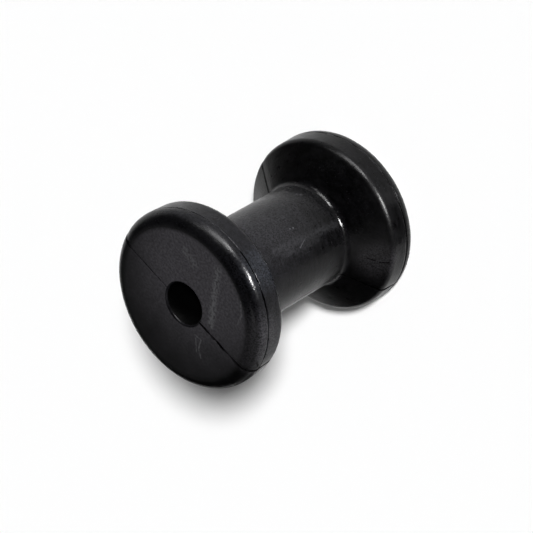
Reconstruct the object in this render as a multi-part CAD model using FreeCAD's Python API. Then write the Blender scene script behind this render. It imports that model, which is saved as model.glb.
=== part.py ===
"""Boat trailer roller: one spool of moulded rubber that turns on a plain spindle.

Sizes are in millimetres. The roller stands on one end face with its axis along +Z, and the origin is the
centre of that face.
"""
import FreeCAD, Part
import math
import os

# Overall sizes
roller_length = 100.0
flange_dia = 76.0

# Barrel and spindle bore
barrel_dia = 44.0
bore_dia = 18.0
bore_mouth_bevel = 1.0

# Flanges, each measured inwards from its own end face
crown_round = 5.7        # rounding between end face and rim
rim_width = 9.3          # tapered rim from that rounding to its corner with the inner face
rim_draft_deg = 2.0      # taper of the rim, which let the roller leave the mould
rim_back_round = 3.5     # rounding of that corner
face_rise = 10.5         # how far the sloping inner face climbs along the axis on its way to the barrel

flange_r = flange_dia / 2
barrel_r = barrel_dia / 2
bore_r = bore_dia / 2
rim_corner_height = crown_round + rim_width
rim_corner_r = flange_r - rim_width * math.tan(math.radians(rim_draft_deg))
root_height = rim_corner_height + face_rise


def corner_arc(before, corner, after):
    """Arc tangent to both sides of a (point, rounding) corner, kept within the room on each side."""
    side_in = before[0] - corner[0]
    side_out = after[0] - corner[0]
    room_in = side_in.Length / (2 if before[1] else 1)
    room_out = side_out.Length / (2 if after[1] else 1)
    half_angle = side_in.getAngle(side_out) / 2
    reach = min(corner[1] / math.tan(half_angle), room_in, room_out)
    radius = reach * math.tan(half_angle)
    side_in.normalize()
    side_out.normalize()
    inwards = (side_in + side_out).normalize()
    middle = corner[0] + inwards * (radius / math.sin(half_angle) - radius)
    return Part.Arc(corner[0] + side_in * reach, middle, corner[0] + side_out * reach)


def half_section(outline):
    """Flat face in the XZ plane from a closed run of (radius, height, rounding) corners."""
    corners = [(FreeCAD.Vector(radius, 0, height), rounding) for radius, height, rounding in outline]
    edges = []
    entries = []
    exits = []
    for index, corner in enumerate(corners):
        entry = corner[0]
        leave = corner[0]
        if corner[1] > 0:
            arc = corner_arc(corners[index - 1], corner, corners[(index + 1) % len(corners)])
            entry = arc.StartPoint
            leave = arc.EndPoint
            edges.append(arc.toShape())
        entries.append(entry)
        exits.append(leave)
    for index, leave in enumerate(exits):
        entry = entries[(index + 1) % len(entries)]
        if leave.distanceToPoint(entry) > Part.Precision.confusion():
            edges.append(Part.makeLine(leave, entry))
    return Part.Face(Part.Wire(Part.__sortEdges__(edges)))


def roller():
    """The whole spool, turned from the outline of one half of its section."""
    lower_end = [
        (bore_r, bore_mouth_bevel, 0),
        (bore_r + bore_mouth_bevel, 0, 0),
        (flange_r, 0, crown_round),
        (flange_r, crown_round, 0),
        (rim_corner_r, rim_corner_height, rim_back_round),
        (barrel_r, root_height, 0),
    ]
    upper_end = [(radius, roller_length - height, rounding) for radius, height, rounding in reversed(lower_end)]
    section = half_section(lower_end + upper_end)
    return section.revolve(FreeCAD.Vector(0, 0, 0), FreeCAD.Vector(0, 0, 1), 360)


os.makedirs("parts", exist_ok=True)
roller().exportStep("parts/roller.step")
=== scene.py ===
import math

import bpy
from mathutils import Matrix, Vector


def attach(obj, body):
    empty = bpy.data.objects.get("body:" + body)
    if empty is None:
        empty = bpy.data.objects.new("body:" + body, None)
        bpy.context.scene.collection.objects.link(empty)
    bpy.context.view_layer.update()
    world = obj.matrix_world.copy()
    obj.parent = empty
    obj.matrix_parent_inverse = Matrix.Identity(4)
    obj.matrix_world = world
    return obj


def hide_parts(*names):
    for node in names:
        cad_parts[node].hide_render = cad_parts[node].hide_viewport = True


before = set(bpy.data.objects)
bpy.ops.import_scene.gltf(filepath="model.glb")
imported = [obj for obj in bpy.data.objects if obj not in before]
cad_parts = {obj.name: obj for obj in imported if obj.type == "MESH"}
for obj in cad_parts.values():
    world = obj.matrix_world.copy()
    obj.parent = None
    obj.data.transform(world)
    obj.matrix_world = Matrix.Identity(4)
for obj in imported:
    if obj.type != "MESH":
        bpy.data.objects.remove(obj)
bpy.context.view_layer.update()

# Sizes of the roller, in metres as everything below. It stands on one end, its axis along +Z.
LENGTH = 0.100
FLANGE_R = 0.038
BARREL_R = 0.022
BORE_R = 0.009
MOUTH_ROUND = 0.001
CROWN_ROUND = 0.0058
RING_HEIGHT = 0.0064
RIM_END = 0.015
RIM_DRAFT = math.radians(2)
BACK_ROUND = 0.0035
FACE_RISE = 0.0105
ROOT_FILLET = 0.0034

# The mould's seam and the ring line where its end plates met its two halves
SEAM_OFFSET = 0.0005
SEAM_WANDER = 0.0012
SEAM_WAVE_SCALE = 55.0
SEAM_HALF_WIDTH = 0.00044
SEAM_DEPTH = 0.00026
STEP_DEPTH = 0.00006     # one half of the mould stood this much inside the other
STEP_REACH = 0.0045
RING_HALF_WIDTH = 0.00038
RING_DEPTH = 0.00026
WORN_SIDE_GAIN = 1.0     # how much wider and deeper the lines are on the roller's -X side


# Helpers for node trees

SHADER = "ShaderNodeTree"
VALUE = "NodeSocketFloat"
VECTOR = "NodeSocketVector"


def set_input(tree, socket, value):
    """Link an input to another node's output, or give it a plain value."""
    if isinstance(value, bpy.types.NodeSocket):
        tree.links.new(value, socket)
    else:
        socket.default_value = value


def add_node(tree, kind, inputs=None, **settings):
    """New node with its settings made, and its inputs set or linked by name or number."""
    made = tree.nodes.new(kind)
    for name, value in settings.items():
        setattr(made, name, value)
    for key, value in (inputs or {}).items():
        set_input(tree, made.inputs[key], value)
    return made


def maths(tree, operation, *values, clamp=False):
    """Result of one sum on numbers or sockets."""
    made = add_node(tree, "ShaderNodeMath", dict(enumerate(values)), operation=operation, use_clamp=clamp)
    return made.outputs[0]


def vector_maths(tree, operation, *values):
    """Vector that one sum on vectors gives."""
    made = add_node(tree, "ShaderNodeVectorMath", dict(enumerate(values)), operation=operation)
    return made.outputs[0]


def measure(tree, operation, *values):
    """Number that one sum on vectors gives, such as a length or a distance."""
    made = add_node(tree, "ShaderNodeVectorMath", dict(enumerate(values)), operation=operation)
    return made.outputs["Value"]


def scaled(tree, vector, factor):
    """Vector or colour times a number."""
    inputs = {0: vector, "Scale": factor}
    return add_node(tree, "ShaderNodeVectorMath", inputs, operation="SCALE").outputs[0]


def highest(tree, values):
    """The highest of several numbers at each point."""
    top = values[0]
    for value in values[1:]:
        top = maths(tree, "MAXIMUM", top, value)
    return top


def ramp(tree, value, low, high, start=0.0, end=1.0, smooth=True):
    """Value mapped from low..high to start..end, held at both ends."""
    kind = "SMOOTHSTEP" if smooth else "LINEAR"
    inputs = {0: value, 1: low, 2: high, 3: start, 4: end}
    return add_node(tree, "ShaderNodeMapRange", inputs, interpolation_type=kind).outputs[0]


def noise(tree, vector, scale, detail=2.0, rough=0.5):
    """Smooth random field from 0 to 1 over a vector."""
    inputs = {"Vector": vector, "Scale": scale, "Detail": detail, "Roughness": rough}
    return add_node(tree, "ShaderNodeTexNoise", inputs).outputs[0]


def swing(tree, field, gain):
    """Random field moved to swing round 0, times a gain."""
    return maths(tree, "MULTIPLY", maths(tree, "SUBTRACT", field, 0.5), gain)


def new_tree(name, kind, inputs, outputs):
    """Node group with named inputs and outputs, and the sockets that give and take them inside it."""
    tree = bpy.data.node_groups.new(name, kind)
    for socket_name, socket_kind, value in inputs:
        socket = tree.interface.new_socket(socket_name, in_out="INPUT", socket_type=socket_kind)
        if value is not None:
            socket.default_value = value
    for socket_name, socket_kind in outputs:
        tree.interface.new_socket(socket_name, in_out="OUTPUT", socket_type=socket_kind)
    return tree, tree.nodes.new("NodeGroupInput").outputs, tree.nodes.new("NodeGroupOutput").inputs


def grouped(tree, group, inputs):
    """Outputs of a group node whose inputs are set or linked."""
    return add_node(tree, "ShaderNodeGroup", inputs, node_tree=group).outputs


def pick(tree, index, values):
    """The value whose number in the list is index."""
    made = add_node(tree, "GeometryNodeIndexSwitch", data_type="FLOAT")
    while len(made.index_switch_items) < len(values):
        made.index_switch_items.new()
    for number, value in enumerate([index, *values]):
        set_input(tree, made.inputs[number], value)
    return made.outputs[0]


def stored(tree, geometry, name, value):
    """The geometry with a number kept on each of its points under a name."""
    inputs = {"Geometry": geometry, "Name": name, "Value": value}
    settings = {"data_type": "FLOAT", "domain": "POINT"}
    return add_node(tree, "GeometryNodeStoreNamedAttribute", inputs, **settings).outputs[0]


def put_in_scene(name, data):
    """New object for this data, linked to the scene."""
    made = bpy.data.objects.new(name, data)
    bpy.context.collection.objects.link(made)
    return made


# The turned form

COLUMNS = 320
ROW_SPACING = 0.0009
BORE_SPACING = 0.007     # the bore is plain, so its rows stand far apart
RING_ZONE = 0.00045      # stretch on each side of the ring line that gets close rows
ZONE_SPACING = 0.00009
ARC_POINTS = 12          # points along each rounding
SEAM_CROWDING = 0.93     # how much closer the columns stand at the seam
RIM_MARGIN = 0.001       # what lies this near the flange's radius is rim
BORE_MARGIN = 0.00005    # what lies this near the bore's radius is bore
FACE_MARGIN = 0.00002    # what lies this near an end is end face
MERGE_DISTANCE = 1e-7


def to_nearer_end(tree, given, height):
    """Distance of a height from the nearer end of the roller."""
    return maths(tree, "MINIMUM", height, maths(tree, "SUBTRACT", given["Length"], height))


def to_ring(tree, given, from_end):
    """Distance along the axis from the ring line of the nearer flange."""
    return maths(tree, "ABSOLUTE", maths(tree, "SUBTRACT", from_end, given["Ring Height"]))


def at_rim(tree, given, radius):
    """1 where a radius is that of a flange's rim, otherwise 0."""
    return maths(tree, "GREATER_THAN", radius, maths(tree, "SUBTRACT", given["Flange Radius"], RIM_MARGIN))


def in_bore(tree, given, radius):
    """1 where a radius is that of the bore's wall, otherwise 0."""
    return maths(tree, "LESS_THAN", radius, maths(tree, "ADD", given["Bore Radius"], BORE_MARGIN))


def corner_list(tree, given):
    """Radius, height and rounding of each corner of the half section's lower half."""
    slope = maths(tree, "TANGENT", given["Rim Draft"])
    below = maths(tree, "SUBTRACT", given["Ring Height"], RING_ZONE)
    above = maths(tree, "ADD", given["Ring Height"], RING_ZONE)
    above_r = maths(tree, "SUBTRACT", given["Flange Radius"], maths(tree, "MULTIPLY", RING_ZONE, slope))
    rim_span = maths(tree, "SUBTRACT", given["Rim End"], given["Ring Height"])
    rim_corner_r = maths(tree, "SUBTRACT", given["Flange Radius"], maths(tree, "MULTIPLY", rim_span, slope))
    root = maths(tree, "ADD", given["Rim End"], given["Face Rise"])
    return [
        (given["Bore Radius"], 0.0, given["Mouth Round"]),
        (given["Flange Radius"], 0.0, given["Crown Round"]),
        (given["Flange Radius"], below, 0.0),
        (given["Flange Radius"], given["Ring Height"], 0.0),
        (above_r, above, 0.0),
        (rim_corner_r, given["Rim End"], given["Back Round"]),
        (given["Barrel Radius"], root, given["Root Fillet"]),
    ]


def section_curve(tree, given):
    """Closed curve of the half section: its corners, their roundings, then rows along its sides."""
    radii, heights, roundings = zip(*corner_list(tree, given))
    count = 2 * len(radii)
    index = add_node(tree, "GeometryNodeInputIndex").outputs[0]
    upper = maths(tree, "GREATER_THAN", index, len(radii) - 0.5)
    mirrored = maths(tree, "MINIMUM", index, maths(tree, "SUBTRACT", count - 1.0, index))
    low = pick(tree, mirrored, heights)
    inputs = {0: upper, 1: low, 2: maths(tree, "SUBTRACT", given["Length"], low)}
    height = add_node(tree, "GeometryNodeSwitch", inputs, input_type="FLOAT").outputs[0]
    place = add_node(tree, "ShaderNodeCombineXYZ", {0: pick(tree, mirrored, radii), 2: height}).outputs[0]
    line = add_node(tree, "GeometryNodeCurvePrimitiveLine").outputs[0]
    line = add_node(tree, "GeometryNodeResampleCurve", {"Curve": line, "Count": count}).outputs[0]
    line = add_node(tree, "GeometryNodeSetPosition", {"Geometry": line, "Position": place}).outputs[0]
    line = add_node(tree, "GeometryNodeSetSplineCyclic", {"Geometry": line, "Cyclic": True}).outputs[0]
    rounding = pick(tree, mirrored, roundings)
    inputs = {"Curve": line, "Count": ARC_POINTS, "Radius": rounding, "Limit Radius": True}
    rounded = add_node(tree, "GeometryNodeFilletCurve", inputs, mode="POLY").outputs[0]
    inputs = {"Curve": rounded, "Cuts": row_cuts(tree, given)}
    return add_node(tree, "GeometryNodeSubdivideCurve", inputs).outputs[0]


def row_cuts(tree, given):
    """How many rows each side of the section gets between its two points."""
    index = add_node(tree, "GeometryNodeInputIndex").outputs[0]
    here = add_node(tree, "GeometryNodeInputPosition").outputs[0]
    following = add_node(tree, "GeometryNodeOffsetPointInCurve", {0: index, 1: 1}).outputs[1]
    settings = {"data_type": "FLOAT_VECTOR", "domain": "POINT"}
    there = add_node(tree, "GeometryNodeFieldAtIndex", {0: here, 1: following}, **settings).outputs[0]
    apart = measure(tree, "DISTANCE", here, there)
    middle = scaled(tree, vector_maths(tree, "ADD", here, there), 0.5)
    radius, _, height = add_node(tree, "ShaderNodeSeparateXYZ", {0: middle}).outputs
    close = maths(tree, "LESS_THAN", to_ring(tree, given, to_nearer_end(tree, given, height)), RING_ZONE)
    close = maths(tree, "MULTIPLY", close, at_rim(tree, given, radius))
    spacing = ramp(tree, close, 0.0, 1.0, ROW_SPACING, ZONE_SPACING, smooth=False)
    wider = maths(tree, "MULTIPLY", in_bore(tree, given, radius), BORE_SPACING - ROW_SPACING)
    return maths(tree, "FLOOR", maths(tree, "DIVIDE", apart, maths(tree, "ADD", spacing, wider)))


def seam_stray(tree, given, radius, height, ahead):
    """Sideways place of the seam at a point of the section. It wanders its own way on each half turn."""
    half = maths(tree, "GREATER_THAN", ahead, 0.0)
    where = add_node(tree, "ShaderNodeCombineXYZ", {0: radius, 1: half, 2: height}).outputs[0]
    wander = noise(tree, where, given["Seam Wave Scale"], detail=3.0, rough=0.6)
    return maths(tree, "ADD", swing(tree, wander, given["Seam Wander"]), given["Seam Offset"])


def turned_mesh(tree, given, curve):
    """The section swept round Z as a closed grid, whose points keep their distance beside the seam."""
    size = add_node(tree, "GeometryNodeAttributeDomainSize", {0: curve}, component="CURVE").outputs
    rows = size["Point Count"]
    wide = maths(tree, "ADD", given["Columns"], 1.0)
    high = maths(tree, "ADD", rows, 1.0)
    inputs = {"Size X": 1.0, "Size Y": 1.0, "Vertices X": wide, "Vertices Y": high}
    grid = add_node(tree, "GeometryNodeMeshGrid", inputs).outputs[0]
    here = add_node(tree, "GeometryNodeInputPosition").outputs[0]
    across, up, _ = add_node(tree, "ShaderNodeSeparateXYZ", {0: here}).outputs

    # Each column's angle, drawn towards the seam at 0 and 180 degrees
    even = maths(tree, "MULTIPLY", maths(tree, "ADD", across, 0.5), 2 * math.pi)
    draw = maths(tree, "SINE", maths(tree, "MULTIPLY", even, 2.0))
    angle = maths(tree, "SUBTRACT", even, maths(tree, "MULTIPLY", draw, SEAM_CROWDING / 2))

    # Each row's point of the section
    row = maths(tree, "ROUND", maths(tree, "MULTIPLY", maths(tree, "ADD", up, 0.5), rows))
    inputs = {0: curve, 1: here, 2: maths(tree, "MODULO", row, rows)}
    settings = {"data_type": "FLOAT_VECTOR", "domain": "POINT"}
    corner = add_node(tree, "GeometryNodeSampleIndex", inputs, **settings).outputs[0]
    radius, _, height = add_node(tree, "ShaderNodeSeparateXYZ", {0: corner}).outputs

    # The turn that takes the columns along with the seam as it wanders
    ahead = maths(tree, "COSINE", angle)
    stray = seam_stray(tree, given, radius, height, ahead)
    turn = maths(tree, "ARCSINE", maths(tree, "DIVIDE", stray, radius))
    turned = maths(tree, "MULTIPLY_ADD", turn, ahead, angle)
    x = maths(tree, "MULTIPLY", radius, maths(tree, "COSINE", turned))
    y = maths(tree, "MULTIPLY", radius, maths(tree, "SINE", turned))
    place = add_node(tree, "ShaderNodeCombineXYZ", {0: x, 1: y, 2: height}).outputs[0]
    beside = maths(tree, "MULTIPLY", radius, maths(tree, "SINE", angle))
    grid = stored(tree, grid, "beside_seam", beside)
    mesh = add_node(tree, "GeometryNodeSetPosition", {"Geometry": grid, "Position": place}).outputs[0]
    inputs = {"Geometry": mesh, "Distance": MERGE_DISTANCE}
    return add_node(tree, "GeometryNodeMergeByDistance", inputs).outputs[0]


def point_places(tree, given):
    """Each point's place, its x, its distance from the axis and its distance from the nearer end."""
    here = add_node(tree, "GeometryNodeInputPosition").outputs[0]
    x, y, z = add_node(tree, "ShaderNodeSeparateXYZ", {0: here}).outputs
    flat = add_node(tree, "ShaderNodeCombineXYZ", {0: x, 1: y}).outputs[0]
    return here, x, measure(tree, "LENGTH", flat), to_nearer_end(tree, given, z)


NEAT_X = 0.004           # the mould lines turn from neat to worn between these two places along X
WORN_X = -0.016
MOUTH_FADE = (0.0002, 0.0012)     # the seam fades out between these distances from the bore's wall
INBOARD_FADE = 0.003     # the lines fade over this height past the rim, to the share below
INBOARD_SHARE = 0.2
SHELTER_X = 0.010        # the step deepens between -X and +X of this, up to the gain below
SHELTER_GAIN = 2.5
SEAM_BREAK_SCALE = 300.0
SEAM_BREAKS = (0.34, 0.56)        # the line goes from its faintest to full between these values of the noise
SEAM_FAINTEST = (0.62, 0.25)      # on the neat and on the worn side
RING_BREAK_SCALE = 260.0
RING_BREAKS = (0.40, 0.56)
RING_FAINTEST = (0.12, 0.45)
RING_NARROWEST = 0.6     # share of the ring line's half width where it is faintest, and what it gains
RING_WIDENING = 0.7


def line_masks(tree, given):
    """Masks of the seam and the ring lines, and how deep they and the step beside the seam are pressed in."""
    here, x, radius, from_end = point_places(tree, given)
    settings = {"data_type": "FLOAT"}
    beside = add_node(tree, "GeometryNodeInputNamedAttribute", {"Name": "beside_seam"}, **settings).outputs[0]
    from_seam = maths(tree, "ABSOLUTE", beside)
    worn = ramp(tree, x, NEAT_X, WORN_X, 1.0, maths(tree, "ADD", given["Worn Side Gain"], 1.0))
    fade_from, fade_to = [maths(tree, "ADD", given["Bore Radius"], reach) for reach in MOUTH_FADE]
    outside = ramp(tree, radius, fade_from, fade_to)
    faded = maths(tree, "ADD", given["Rim End"], INBOARD_FADE)
    inboard = ramp(tree, from_end, given["Rim End"], faded, 1.0, INBOARD_SHARE)

    faintest = ramp(tree, x, NEAT_X, WORN_X, *SEAM_FAINTEST)
    breaks = noise(tree, here, SEAM_BREAK_SCALE, detail=3.0)
    ragged = maths(tree, "MULTIPLY", ramp(tree, breaks, *SEAM_BREAKS, faintest, 1.0), worn)
    width = maths(tree, "MULTIPLY", given["Seam Half Width"], ragged)
    seam = ramp(tree, from_seam, width, 0.0)
    seam = maths(tree, "MULTIPLY", seam, maths(tree, "MULTIPLY", ragged, outside))

    faintest = ramp(tree, x, NEAT_X, WORN_X, *RING_FAINTEST)
    breaks = noise(tree, here, RING_BREAK_SCALE, detail=2.0)
    broken = maths(tree, "MULTIPLY", ramp(tree, breaks, *RING_BREAKS, faintest, 1.0), worn)
    share = maths(tree, "MULTIPLY", broken, 0.5, clamp=True)
    share = maths(tree, "MULTIPLY_ADD", share, RING_WIDENING, RING_NARROWEST)
    width = maths(tree, "MULTIPLY", given["Ring Half Width"], share)
    ring = ramp(tree, to_ring(tree, given, from_end), width, 0.0)
    ring = maths(tree, "MULTIPLY", ring, maths(tree, "MULTIPLY", broken, at_rim(tree, given, radius)))

    side = ramp(tree, beside, 0.0, maths(tree, "MULTIPLY", given["Seam Half Width"], -1.0))
    sheltered = maths(tree, "MULTIPLY", ramp(tree, x, -SHELTER_X, SHELTER_X), SHELTER_GAIN)
    step = ramp(tree, from_seam, given["Step Reach"], 0.0)
    step = maths(tree, "MULTIPLY", step, highest(tree, [inboard, sheltered]))
    step = maths(tree, "MULTIPLY", maths(tree, "MULTIPLY", step, side), outside)

    depth = highest(tree, [
        maths(tree, "MULTIPLY", seam, maths(tree, "MULTIPLY", inboard, given["Seam Depth"])),
        maths(tree, "MULTIPLY", ring, given["Ring Depth"]),
        maths(tree, "MULTIPLY", step, given["Step Depth"]),
    ])
    return seam, ring, depth


def mould_lines(tree, given, mesh):
    """The mesh with the seam, its step and the two ring lines pressed in, and a named mask for each line."""
    seam, ring, depth = line_masks(tree, given)
    mesh = stored(tree, mesh, "seam", seam)
    mesh = stored(tree, mesh, "ring", ring)
    normal = add_node(tree, "GeometryNodeInputNormal").outputs[0]
    inwards = scaled(tree, normal, maths(tree, "MULTIPLY", depth, -1.0))
    return add_node(tree, "GeometryNodeSetPosition", {"Geometry": mesh, "Offset": inwards}).outputs[0]


ROLLER_SIZES = [
    ("Length", LENGTH), ("Flange Radius", FLANGE_R), ("Barrel Radius", BARREL_R), ("Bore Radius", BORE_R),
    ("Mouth Round", MOUTH_ROUND), ("Crown Round", CROWN_ROUND), ("Ring Height", RING_HEIGHT),
    ("Rim End", RIM_END), ("Rim Draft", RIM_DRAFT), ("Back Round", BACK_ROUND), ("Face Rise", FACE_RISE),
    ("Root Fillet", ROOT_FILLET), ("Seam Offset", SEAM_OFFSET), ("Seam Half Width", SEAM_HALF_WIDTH),
    ("Seam Depth", SEAM_DEPTH), ("Seam Wander", SEAM_WANDER), ("Seam Wave Scale", SEAM_WAVE_SCALE),
    ("Step Depth", STEP_DEPTH), ("Step Reach", STEP_REACH), ("Ring Half Width", RING_HALF_WIDTH),
    ("Ring Depth", RING_DEPTH), ("Worn Side Gain", WORN_SIDE_GAIN),
]


def roller_tree():
    """Tree that turns the roller from its named sizes, closes it and gives each part of it its rubber."""
    sockets = [(name, VALUE, value) for name, value in ROLLER_SIZES]
    sockets += [("Columns", "NodeSocketInt", COLUMNS)]
    sockets += [(name, "NodeSocketMaterial", None) for name in ("Body Rubber", "Face Rubber", "Bore Rubber")]
    output = ("Geometry", "NodeSocketGeometry")
    tree, given, result = new_tree("Turned roller", "GeometryNodeTree", sockets, [output])
    mesh = turned_mesh(tree, given, section_curve(tree, given))
    _, _, radius, from_end = point_places(tree, given)
    kept = add_node(tree, "GeometryNodeCaptureAttribute", domain="FACE")
    on_face = maths(tree, "LESS_THAN", from_end, FACE_MARGIN)
    for name, value in (("On Face", on_face), ("In Bore", in_bore(tree, given, radius))):
        kept.capture_items.new("BOOLEAN", name)
        tree.links.new(value, kept.inputs[name])
    tree.links.new(mesh, kept.inputs[0])
    mesh = mould_lines(tree, given, kept.outputs[0])
    mesh = add_node(tree, "GeometryNodeSetShadeSmooth", {0: mesh}).outputs[0]
    mesh = add_node(tree, "GeometryNodeRealizeInstances", {0: mesh}).outputs[0]
    inputs = {"Geometry": mesh, "Material": given["Body Rubber"]}
    mesh = add_node(tree, "GeometryNodeSetMaterial", inputs).outputs[0]
    for name, part in (("Face Rubber", "On Face"), ("Bore Rubber", "In Bore")):
        inputs = {"Geometry": mesh, "Selection": kept.outputs[part], "Material": given[name]}
        mesh = add_node(tree, "GeometryNodeSetMaterial", inputs).outputs[0]
    tree.links.new(mesh, result[0])
    return tree


def plain_object(name, tree, materials):
    """Object whose plain mesh is what the tree makes with these materials."""
    maker = put_in_scene(name + "_maker", bpy.data.meshes.new(name + "_maker"))
    modifier = maker.modifiers.new("Maker", "NODES")
    modifier.node_group = tree
    for item in tree.interface.items_tree:
        if item.item_type == "SOCKET" and item.in_out == "INPUT" and item.name in materials:
            modifier[item.identifier] = materials[item.name]
    graph = bpy.context.evaluated_depsgraph_get()
    finished = maker.evaluated_get(graph)
    mesh = bpy.data.meshes.new_from_object(finished, preserve_all_data_layers=True, depsgraph=graph)
    bpy.data.objects.remove(maker)
    mesh.materials.pop(index=0)      # Set Material leaves an empty first slot
    return put_in_scene(name, mesh)


# Rubber

STREAK_DRAW = (0.22, 0.22, 1.0)     # draws the streaks out round the axis
CLOUD_SWING = 1.4        # how far each part of the grain moves the tone
STREAK_SWING = 4.0
PEBBLE_SWING = 2.0
DARKEST_TONE = 0.3
STREAK_RISE = 0.4        # how far a streak stands up, next to a pebble
SPECK_CORE = 0.3         # share of a speck's size, or a stroke's width, that is full
STROKE_CORE = 0.2
STROKE_BREAKS = (0.35, 0.6)
SHADE_EDGE = (0.05, 0.5)            # a mould line turns dark between these values of its mask
SHADE_STRETCHES = (0.4, 0.6)
SHADE_LEAST = 0.55
EDGE_SWING = 0.3         # how far a patch's edge wanders, as a share of its outer radius
MOST_NOISE = (0.3, 0.7)  # most of a noise field lies between these values


def rubber_grain():
    """Moulded grain: a slow cloud, short streaks round the axis and a fine pebble, as a tone and a height."""
    tree, given, result = new_tree("Rubber grain", SHADER, [
        ("Place", VECTOR, None), ("Cloud Scale", VALUE, 70.0), ("Streak Scale", VALUE, 260.0),
        ("Pebble Scale", VALUE, 1500.0), ("Mottle", VALUE, 0.3), ("Streaks", VALUE, 0.5),
    ], [("Tone", VALUE), ("Height", VALUE)])
    cloud = noise(tree, given["Place"], given["Cloud Scale"], detail=3.0, rough=0.6)
    drawn_out = vector_maths(tree, "MULTIPLY", given["Place"], STREAK_DRAW)
    streak = noise(tree, drawn_out, given["Streak Scale"], detail=3.0, rough=0.65)
    pebble = noise(tree, given["Place"], given["Pebble Scale"], detail=2.0, rough=0.6)
    total = maths(tree, "ADD", swing(tree, cloud, CLOUD_SWING), swing(tree, pebble, PEBBLE_SWING))
    streak_gain = maths(tree, "MULTIPLY", given["Streaks"], STREAK_SWING)
    total = maths(tree, "ADD", total, swing(tree, streak, streak_gain))
    tone = maths(tree, "MULTIPLY_ADD", total, given["Mottle"], 1.0)
    tree.links.new(maths(tree, "MAXIMUM", tone, DARKEST_TONE), result["Tone"])
    raised = maths(tree, "MULTIPLY", given["Streaks"], STREAK_RISE)
    tree.links.new(maths(tree, "MULTIPLY_ADD", streak, raised, pebble), result["Height"])
    return tree


def dust_specks():
    """Sparse pale specks of dust and of the whitish efflorescence that rubber sweats out, as a mask."""
    tree, given, result = new_tree("Dust specks", SHADER, [
        ("Place", VECTOR, None), ("Scale", VALUE, 420.0), ("Size", VALUE, 0.16), ("Share", VALUE, 0.2),
    ], [("Mask", VALUE)])
    inputs = {"Vector": given["Place"], "Scale": given["Scale"]}
    cells = add_node(tree, "ShaderNodeTexVoronoi", inputs).outputs
    chance = add_node(tree, "ShaderNodeSeparateXYZ", {0: cells["Color"]}).outputs[0]
    chosen = maths(tree, "LESS_THAN", chance, given["Share"])
    dot = ramp(tree, cells["Distance"], given["Size"], maths(tree, "MULTIPLY", given["Size"], SPECK_CORE))
    tree.links.new(maths(tree, "MULTIPLY", dot, chosen), result["Mask"])
    return tree


def stroke_mark():
    """One rubbed or cut stroke between two points, ragged along its length, as a mask."""
    tree, given, result = new_tree("Stroke mark", SHADER, [
        ("Place", VECTOR, None), ("From", VECTOR, None), ("To", VECTOR, None), ("Width", VALUE, 0.0006),
        ("Raggedness", VALUE, 0.6), ("Strength", VALUE, 1.0), ("Grain", VALUE, 900.0),
    ], [("Mask", VALUE)])
    span = vector_maths(tree, "SUBTRACT", given["To"], given["From"])
    reach = vector_maths(tree, "SUBTRACT", given["Place"], given["From"])
    along = measure(tree, "DOT_PRODUCT", reach, span)
    share = maths(tree, "DIVIDE", along, measure(tree, "DOT_PRODUCT", span, span), clamp=True)
    away = measure(tree, "DISTANCE", reach, scaled(tree, span, share))
    patchy = noise(tree, given["Place"], given["Grain"], detail=3.0, rough=0.6)
    patchy = ramp(tree, patchy, *STROKE_BREAKS, maths(tree, "SUBTRACT", 1.0, given["Raggedness"]), 1.0)
    band = ramp(tree, away, given["Width"], maths(tree, "MULTIPLY", given["Width"], STROKE_CORE))
    band = maths(tree, "MULTIPLY", band, given["Strength"])
    tree.links.new(maths(tree, "MULTIPLY", band, patchy), result["Mask"])
    return tree


def mould_line_shade():
    """Painted shade in the bottoms of the seam and the ring line, darker in some stretches than in others, as
    a mask.
    """
    tree, given, result = new_tree("Mould line shade", SHADER, [
        ("Place", VECTOR, None), ("Seam", VALUE, 0.0), ("Ring", VALUE, 0.0), ("Stretch Scale", VALUE, 160.0),
        ("Darkness", VALUE, 0.9),
    ], [("Mask", VALUE)])
    stretch = noise(tree, given["Place"], given["Stretch Scale"], detail=2.0)
    line = ramp(tree, highest(tree, [given["Seam"], given["Ring"]]), *SHADE_EDGE)
    line = maths(tree, "MULTIPLY", line, ramp(tree, stretch, *SHADE_STRETCHES, SHADE_LEAST, 1.0))
    tree.links.new(maths(tree, "MULTIPLY", line, given["Darkness"]), result["Mask"])
    return tree


def patch():
    """Patchy area that fades away from one place, for painted sheen, for scuffs and for rubbed, smoother
    rubber, as a mask.
    """
    tree, given, result = new_tree("Patch", SHADER, [
        ("Place", VECTOR, None), ("Middle", VECTOR, None), ("Outer", VALUE, 0.05), ("Inner", VALUE, 0.02),
        ("Edge Scale", VALUE, 90.0), ("Speckle Scale", VALUE, 700.0), ("Speckle", VALUE, 0.3),
    ], [("Mask", VALUE)])
    edge = noise(tree, given["Place"], given["Edge Scale"], detail=4.0, rough=0.6)
    edge = swing(tree, edge, maths(tree, "MULTIPLY", given["Outer"], EDGE_SWING))
    away = maths(tree, "ADD", measure(tree, "DISTANCE", given["Place"], given["Middle"]), edge)
    grains = noise(tree, given["Place"], given["Speckle Scale"], detail=3.0, rough=0.65)
    least = maths(tree, "SUBTRACT", 1.0, given["Speckle"])
    most = maths(tree, "ADD", 1.0, given["Speckle"])
    fine = ramp(tree, grains, *MOST_NOISE, least, most)
    fade = ramp(tree, away, given["Outer"], given["Inner"])
    tree.links.new(maths(tree, "MULTIPLY", fade, fine), result["Mask"])
    return tree


GRAIN = rubber_grain()
PATCH = patch()
SPECKS = dust_specks()
STROKE = stroke_mark()
LINE_SHADE = mould_line_shade()

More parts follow.
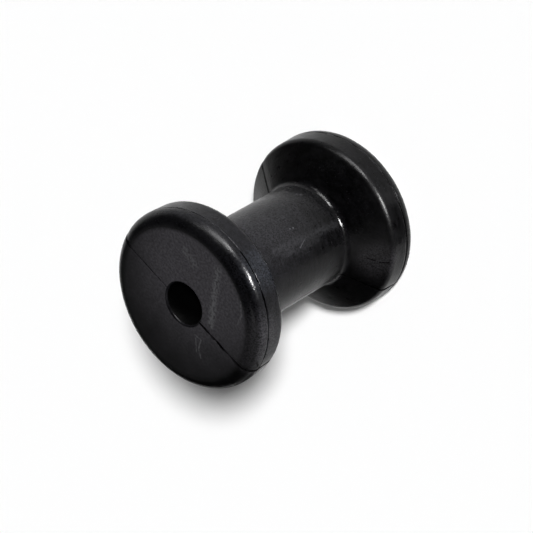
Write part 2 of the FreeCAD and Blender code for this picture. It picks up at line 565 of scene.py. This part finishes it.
# Marks that the roller has taken: their two ends in metres, then width, raggedness and strength
PALE_FACE_MARKS = [
    ((-0.0047, -0.0280, 0.100), (-0.0078, -0.0200, 0.100), 0.0024, 1.0, 0.70),
    ((-0.0078, -0.0200, 0.100), (-0.0140, -0.0040, 0.100), 0.0026, 1.0, 0.75),
    ((-0.0064, -0.0222, 0.100), (-0.0110, -0.0112, 0.100), 0.0006, 0.6, 1.00),
    ((-0.0110, -0.0112, 0.100), (-0.0150, -0.0030, 0.100), 0.0007, 0.6, 1.00),
    ((-0.0107, 0.0073, 0.100), (-0.0140, 0.0068, 0.100), 0.0005, 0.7, 0.70),
    ((-0.0140, 0.0068, 0.100), (-0.0151, 0.0113, 0.100), 0.0005, 0.7, 0.75),
    ((-0.0151, 0.0113, 0.100), (-0.0179, 0.0140, 0.100), 0.0005, 0.8, 0.65),
    ((-0.0117, 0.0082, 0.100), (-0.0150, 0.0135, 0.100), 0.0004, 0.8, 0.60),
    ((0.0113, -0.0219, 0.100), (0.0050, -0.0202, 0.100), 0.0026, 1.0, 0.50),
    ((-0.0194, -0.0251, 0.100), (-0.0228, -0.0200, 0.100), 0.0006, 0.8, 0.60),
    ((-0.0228, -0.0200, 0.100), (-0.0232, -0.0150, 0.100), 0.0006, 0.8, 0.50),
]
PALE_BODY_MARKS = [
    ((-0.0088, -0.0201, 0.0478), (-0.0105, -0.0193, 0.0516), 0.00032, 0.3, 0.8),
    ((-0.0023, -0.0219, 0.0511), (-0.0024, -0.0219, 0.0510), 0.00040, 0.1, 1.0),
    ((-0.0026, -0.0218, 0.0494), (-0.0027, -0.0218, 0.0493), 0.00045, 0.1, 1.0),
    ((0.0101, -0.0195, 0.0325), (0.0090, -0.0200, 0.0318), 0.00120, 0.8, 0.35),
    ((-0.0072, -0.0208, 0.0649), (-0.0095, -0.0198, 0.0285), 0.00260, 1.0, 0.15),
    ((-0.0101, -0.0195, 0.0618), (-0.0113, -0.0189, 0.0413), 0.00180, 1.0, 0.12),
]
DARK_BODY_MARKS = [
    ((-0.0264, -0.0120, 0.0208), (-0.0292, -0.0126, 0.0189), 0.00036, 0.6, 1.0),
    ((-0.0307, -0.0126, 0.0180), (-0.0335, -0.0144, 0.0159), 0.00042, 0.5, 1.0),
    ((0.0019, -0.0366, 0.0156), (0.0018, -0.0377, 0.0127), 0.00040, 0.3, 1.0),
    ((-0.0219, -0.0010, 0.0292), (-0.0222, 0.0010, 0.0262), 0.00060, 0.7, 0.9),
    ((0.0361, -0.0002, 0.0984), (0.0340, -0.0001, 0.0997), 0.00060, 0.2, 1.0),
    ((-0.0371, -0.0048, 0.0966), (-0.0379, -0.0018, 0.0950), 0.00060, 0.4, 1.0),
    ((-0.0379, -0.0018, 0.0950), (-0.0374, 0.0053, 0.0887), 0.00040, 0.5, 1.0),
]

SPECULAR = 0.15
SHEEN_TINT = (0.5, 0.5, 0.5, 1.0)     # also takes the grazing sheen off the black of the grooves
# painted shade: the black of the grooves' bottoms, which the dark marks take as well
SHADE_AND_MARK_BLACK = (0.0003, 0.0003, 0.0003, 1.0)
GROOVE_DROP = 0.3        # how far a dark mark falls in the bump, next to the grain's height
BUMP_DISTANCE = 0.00012
SPECK_STRENGTH = 0.5
GLOSS_SCALE = 260.0


def stroke_masks(tree, place, marks):
    """A mask for each stroke mark in a list."""
    masks = []
    for start, end, width, raggedness, strength in marks:
        inputs = {"Place": place, "From": start, "To": end}
        inputs.update({"Width": width, "Raggedness": raggedness, "Strength": strength})
        masks.append(grouped(tree, STROKE, inputs)["Mask"])
    return masks


def patch_mask(tree, place, middle, outer, inner, speckle):
    """Mask of one patch, full within the inner radius and gone at the outer."""
    inputs = {"Place": place, "Middle": middle, "Outer": outer, "Inner": inner, **speckle}
    return grouped(tree, PATCH, inputs)["Mask"]


def line_mask(tree, place):
    """Mask of painted shade in the mould lines' grooves, from what the mesh keeps of them."""
    inputs = {"Place": place}
    for name in ("Seam", "Ring"):
        inputs[name] = add_node(tree, "ShaderNodeAttribute", attribute_name=name.lower()).outputs["Fac"]
    return grouped(tree, LINE_SHADE, inputs)["Mask"]


def colour_with_sheen_and_scuffs(tree, place, finish, tone):
    """The finish's base colour in the grain's tone, with its colour patches added: mostly painted sheen, some
    scuffs.
    """
    colour = scaled(tree, finish["base"], tone)
    for middle, outer, inner, added_colour in finish["painted_sheen_and_scuffs"]:
        mask = patch_mask(tree, place, middle, outer, inner, finish["speckle"])
        colour = vector_maths(tree, "ADD", colour, scaled(tree, added_colour, mask))
    return colour


def painted_radial_shade(tree, place, zones):
    """Share of its colour that the rubber keeps at each distance from the axis, for painted shade by radius.
    """
    radius = measure(tree, "LENGTH", vector_maths(tree, "MULTIPLY", place, (1.0, 1.0, 0.0)))
    return highest(tree, [ramp(tree, radius, low, high, start, end) for low, high, start, end in zones])


def gloss(tree, place, finish):
    """Roughness that wanders in the finish's range and changes in its rubbed patches."""
    low, high = finish["rough"]
    rough = ramp(tree, noise(tree, place, GLOSS_SCALE, detail=3.0, rough=0.6), *MOST_NOISE, low, high)
    for middle, outer, inner, gain in finish["polish"]:
        mask = patch_mask(tree, place, middle, outer, inner, {})
        rough = maths(tree, "MULTIPLY_ADD", mask, -gain, rough)
    return rough


def mixed(tree, share, first, second):
    """Colour between two."""
    return add_node(tree, "ShaderNodeMix", {0: share, 6: first, 7: second}, data_type="RGBA").outputs[2]


def blank_material(name):
    """New material and its empty node tree."""
    material = bpy.data.materials.new(name)
    material.use_nodes = True
    material.node_tree.nodes.clear()
    return material, material.node_tree


def rubber(name, finish, pale_marks=(), dark_marks=()):
    """Moulded black rubber, mottled and grained, with its mould lines and the marks that it has taken, and
    with painted sheen and painted shade: by radius and in the bottoms of its grooves.
    """
    material, tree = blank_material(name)
    place = add_node(tree, "ShaderNodeTexCoord").outputs["Object"]
    grain = grouped(tree, GRAIN, {"Place": place, **finish["grain"]})
    specks = grouped(tree, SPECKS, {"Place": place, **finish["specks"]})["Mask"]
    colour = colour_with_sheen_and_scuffs(tree, place, finish, grain["Tone"])
    pale = maths(tree, "MULTIPLY", specks, SPECK_STRENGTH)
    # painted shade by radius, which also leaves fewer pale specks where it is darker
    if finish["painted_radial_shade"]:
        kept = painted_radial_shade(tree, place, finish["painted_radial_shade"])
        colour = scaled(tree, colour, kept)
        pale = maths(tree, "MULTIPLY", pale, kept)
    pale = highest(tree, [pale, *stroke_masks(tree, place, pale_marks)])
    colour = mixed(tree, pale, colour, finish["pale"])
    # painted shade in the grooves of the mould lines, together with the dark marks
    dark = highest(tree, [line_mask(tree, place), *stroke_masks(tree, place, dark_marks)])
    colour = mixed(tree, dark, colour, SHADE_AND_MARK_BLACK)
    height = maths(tree, "SUBTRACT", grain["Height"], maths(tree, "MULTIPLY", dark, GROOVE_DROP))
    inputs = {"Strength": finish["bump"], "Distance": BUMP_DISTANCE, "Height": height}
    bump = add_node(tree, "ShaderNodeBump", inputs).outputs[0]
    inputs = {
        "Base Color": colour, "Roughness": gloss(tree, place, finish), "Normal": bump,
        "Specular IOR Level": SPECULAR, "Specular Tint": SHEEN_TINT,
        # painted shade: where the mask is full the rubber turns a black metal without sheen
        "Metallic": dark,     # a metal as black as this has no sheen, like the bottom of a groove
    }
    shader = add_node(tree, "ShaderNodeBsdfPrincipled", inputs).outputs[0]
    add_node(tree, "ShaderNodeOutputMaterial", {"Surface": shader})
    return material


# A patch is given by its middle, its outer and inner radius, and the colour that it adds or how much smoother
# it is. The colour patches are mostly painted sheen and painted reflection.
# The painted shade by radius goes from one radius to another, and from one share of the colour to another.
BODY_FINISH = {
    "base": (0.0027, 0.0026, 0.0030), "pale": (0.075, 0.075, 0.082, 1.0), "rough": (0.27, 0.35), "bump": 0.50,
    "grain": {
        "Cloud Scale": 150.0, "Streak Scale": 700.0, "Pebble Scale": 1100.0, "Mottle": 1.0, "Streaks": 1.2,
    },
    "specks": {"Scale": 900.0, "Size": 0.17, "Share": 0.24},
    "speckle": {"Speckle Scale": 1500.0, "Speckle": 1.0},
    "polish": [
        ((0.0, -0.020, 0.026), 0.022, 0.008, 0.14),
        ((-0.020, -0.031, 0.096), 0.022, 0.010, 0.12),
        ((-0.0345, -0.0110, 0.0980), 0.018, 0.007, -0.16),
    ],
    "painted_sheen_and_scuffs": [
        # painted sheen: the near flange lighter on its -Y side
        ((0.004, -0.030, 0.088), 0.052, 0.016, (0.0042, 0.0042, 0.0052)),
        # painted sheen: the barrel lighter on its -Y side
        ((0.013, -0.018, 0.055), 0.034, 0.010, (0.0100, 0.0098, 0.0107)),
        # painted sheen over a dark reflection band on the near crown, towards -X
        ((-0.0325, -0.0120, 0.0990), 0.020, 0.006, (0.0200, 0.0193, 0.0213)),
        # a bluish scuff on the near rim
        ((-0.015, -0.0348, 0.0895), 0.012, 0.003, (0.0085, 0.0098, 0.0122)),
        # painted reflection: a lighter grey zone on the far flange's inner face
        ((-0.0300, -0.0125, 0.0188), 0.0120, 0.0030, (0.0200, 0.0190, 0.0208)),
    ],
    # painted shade: inboard faces and the inner part of the crowns darker, between the barrel and the rims
    "painted_radial_shade": [(0.0225, 0.0240, 1.0, 0.3), (0.0362, 0.0377, 0.3, 1.0)],
}
FACE_FINISH = {
    "base": (0.0034, 0.0033, 0.0037), "pale": (0.060, 0.060, 0.063, 1.0), "rough": (0.38, 0.46), "bump": 0.25,
    "grain": {
        "Cloud Scale": 60.0, "Streak Scale": 500.0, "Pebble Scale": 1100.0, "Mottle": 0.50, "Streaks": 0.2,
    },
    "specks": {"Scale": 700.0, "Size": 0.14, "Share": 0.08},
    "speckle": {"Speckle Scale": 900.0, "Speckle": 0.4},
    "polish": [],
    # painted sheen: the end face lighter towards its middle and its -Y side
    "painted_sheen_and_scuffs": [((0.001, -0.020, 0.100), 0.052, 0.014, (0.0235, 0.0223, 0.0250))],
    # painted shade: the end face darker in a ring at its edge
    "painted_radial_shade": [(0.0305, 0.0326, 1.0, 0.35)],
}
BORE_FINISH = {
    "base": (0.0006, 0.0006, 0.0006), "pale": (0.01, 0.01, 0.01, 1.0), "rough": (0.5, 0.6), "bump": 0.2,
    "grain": {
        "Cloud Scale": 90.0, "Streak Scale": 300.0, "Pebble Scale": 1200.0, "Mottle": 0.3, "Streaks": 0.4,
    },
    "specks": {"Scale": 300.0, "Size": 0.08, "Share": 0.02},
    "speckle": {}, "polish": [], "painted_sheen_and_scuffs": [], "painted_radial_shade": [],
}
MATERIALS = {
    "Body Rubber": rubber("body_rubber", BODY_FINISH, PALE_BODY_MARKS, DARK_BODY_MARKS),
    "Face Rubber": rubber("face_rubber", FACE_FINISH, PALE_FACE_MARKS),
    "Bore Rubber": rubber("bore_rubber", BORE_FINISH),
}
roller = plain_object("roller_body", roller_tree(), MATERIALS)
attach(roller, "root")
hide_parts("roller")


# Floor, light and camera

WHITE = (1.0, 1.0, 1.0, 1.0)
FLOOR_PALE = (0.85, 0.85, 0.85, 1.0)
FLOOR_GLOW = 0.08
FLOOR_HALF = 4.0
CARD_BLACK = (0.01, 0.01, 0.01, 1.0)
KEY_SOFTNESS = math.radians(7.0)
LAMP_AIM = Vector((0.0, 0.0, 0.05))
CEILING_RISE = (0.03, 0.10)     # the white surround turns into the dark ceiling between these heights


def floor_material():
    """Pale floor that keeps the shadow and shows white where the light reaches it."""
    material, tree = blank_material("pale_floor")
    matt = add_node(tree, "ShaderNodeBsdfDiffuse", {"Color": FLOOR_PALE}).outputs[0]
    glow = add_node(tree, "ShaderNodeEmission", {"Color": WHITE, "Strength": FLOOR_GLOW}).outputs[0]
    path = add_node(tree, "ShaderNodeLightPath").outputs
    seen = highest(tree, [path["Is Camera Ray"], path["Is Glossy Ray"], path["Is Transmission Ray"]])
    glowing = add_node(tree, "ShaderNodeAddShader", {0: matt, 1: glow}).outputs[0]
    above = add_node(tree, "ShaderNodeMixShader", {0: seen, 1: matt, 2: glowing}).outputs[0]
    clear = add_node(tree, "ShaderNodeBsdfTransparent").outputs[0]
    below = add_node(tree, "ShaderNodeNewGeometry").outputs["Backfacing"]
    surface = add_node(tree, "ShaderNodeMixShader", {0: below, 1: above, 2: clear}).outputs[0]
    add_node(tree, "ShaderNodeOutputMaterial", {"Surface": surface})
    return material


def card_material():
    """Matt black of the cards."""
    material, tree = blank_material("black_card")
    black = add_node(tree, "ShaderNodeBsdfDiffuse", {"Color": CARD_BLACK}).outputs[0]
    add_node(tree, "ShaderNodeOutputMaterial", {"Surface": black})
    return material


def flat_sheet(name, corners, material):
    """Object of one flat face."""
    mesh = bpy.data.meshes.new(name)
    mesh.from_pydata(corners, [], [tuple(range(len(corners)))])
    mesh.materials.append(material)
    return put_in_scene(name, mesh)


def floor():
    """The pale floor, level with the roller's lower end."""
    half = FLOOR_HALF
    made = flat_sheet("floor", [(-half, -half, 0), (half, -half, 0), (half, half, 0), (-half, half, 0)],
                      floor_material())


def black_card(name, corners, material):
    """Black card that only the rubber's sheen shows, to break up its reflection of the white surround."""
    made = flat_sheet(name, corners, material)
    made.visible_camera = made.visible_diffuse = made.visible_shadow = made.visible_transmission = False


def direction(bearing, height_angle):
    """Unit vector towards a bearing and a height, both in degrees."""
    around = math.radians(bearing)
    above = math.radians(height_angle)
    return Vector((math.cos(above) * math.cos(around), math.cos(above) * math.sin(around), math.sin(above)))


def shining_from(towards):
    """Turn of a lamp that shines from this direction."""
    return (-towards).to_track_quat("-Z", "Y").to_euler()


def soft_panel(name, bearing, height_angle, distance, size, radiance):
    """Soft panel of a plain radiance that only sheen shows, in a direction seen from the roller's middle."""
    towards = direction(bearing, height_angle)
    data = bpy.data.lights.new(name, "AREA")
    data.shape = "RECTANGLE"
    data.size, data.size_y = size
    data.energy = radiance * math.pi * size[0] * size[1]
    made = put_in_scene(name, data)
    made.location = LAMP_AIM + distance * towards
    made.rotation_euler = shining_from(towards)
    made.visible_camera = made.visible_diffuse = False


def key_light(bearing, height_angle, strength):
    """Far soft key beside the camera. It lights matt surfaces and gives the shadow, and no sheen shows it."""
    data = bpy.data.lights.new("key", "SUN")
    data.energy = strength
    data.angle = KEY_SOFTNESS
    made = put_in_scene("key", data)
    made.rotation_euler = shining_from(direction(bearing, height_angle))
    made.visible_glossy = False


def world_light(plain, ceiling):
    """Studio: white to the camera, white under a dark ceiling in sheen, a plain level on matt surfaces."""
    world = bpy.data.worlds.new("studio")
    bpy.context.scene.world = world
    world.use_nodes = True
    tree = world.node_tree
    tree.nodes.clear()
    path = add_node(tree, "ShaderNodeLightPath").outputs
    outwards = add_node(tree, "ShaderNodeTexCoord").outputs["Generated"]
    rise = add_node(tree, "ShaderNodeSeparateXYZ", {0: outwards}).outputs[2]
    surround = ramp(tree, rise, *CEILING_RISE, 1.0, ceiling)
    strength = add_node(tree, "ShaderNodeMix", {0: path["Is Glossy Ray"], 2: plain, 3: surround}).outputs[0]
    strength = highest(tree, [strength, path["Is Camera Ray"], path["Is Transmission Ray"]])
    glow = add_node(tree, "ShaderNodeBackground", {"Color": WHITE, "Strength": strength}).outputs[0]
    add_node(tree, "ShaderNodeOutputWorld", {"Surface": glow})


CAMERA_PLACE = (-0.21852, -0.62799, 0.64260)
CAMERA_AHEAD = (0.24224, 0.70780, -0.66358)
CAMERA_UP = (0.71128, -0.59471, -0.37469)


def camera():
    """Camera that sees the roller as the photo does, rolled so that its picture stands the same way up."""
    data = bpy.data.cameras.new("camera")
    data.sensor_width = 36.0
    data.lens = 148.71
    data.clip_start = 0.01
    made = put_in_scene("camera", data)
    ahead = Vector(CAMERA_AHEAD).normalized()
    right = ahead.cross(Vector(CAMERA_UP)).normalized()
    up = right.cross(ahead)
    turn = Matrix((right, up, -ahead)).transposed()
    made.matrix_world = Matrix.Translation(CAMERA_PLACE) @ turn.to_4x4()
    bpy.context.scene.camera = made


# Black cards and their corners
CARDS = {
    "low_card": [
        (-0.022, -0.034, 0.001), (-0.050, -0.085, 0.001), (-0.085, -0.070, 0.001), (-0.085, -0.032, 0.001),
        (-0.040, -0.020, 0.001),
    ],
    "back_card": [(-0.14, 0.12, 0.0), (0.02, 0.12, 0.0), (0.02, 0.12, 0.055), (-0.14, 0.12, 0.055)],
    "far_card": [(-0.37, 0.34, 0.0), (0.12, 0.45, 0.0), (0.12, 0.45, 0.30), (-0.37, 0.34, 0.30)],
}
# Soft panels: bearing, height angle, distance, size and radiance
PANELS = [
    ("face_panel", 68.0, 44.0, 0.9, (0.48, 0.44), 0.4),
    ("tall_panel", -62.5, 15.0, 0.8, (0.22, 0.40), 31.0),
    ("tall_panel_arm", -42.0, 26.0, 0.8, (0.14, 0.14), 15.0),
    ("short_panel", -80.0, 8.0, 0.8, (0.14, 0.22), 112.0),
    ("side_panel", 167.0, 51.0, 0.9, (0.40, 0.40), 2.0),
    ("low_strip", -121.0, 2.5, 0.7, (0.15, 0.07), 700.0),
]

floor()
world_light(plain=0.05, ceiling=0.04)
key_light(bearing=-101.95, height_angle=37.4, strength=5.3)
card_black = card_material()
for card, corners in CARDS.items():
    black_card(card, corners, card_black)
for panel in PANELS:
    soft_panel(*panel)
camera()
bpy.context.scene.view_settings.view_transform = "Standard"
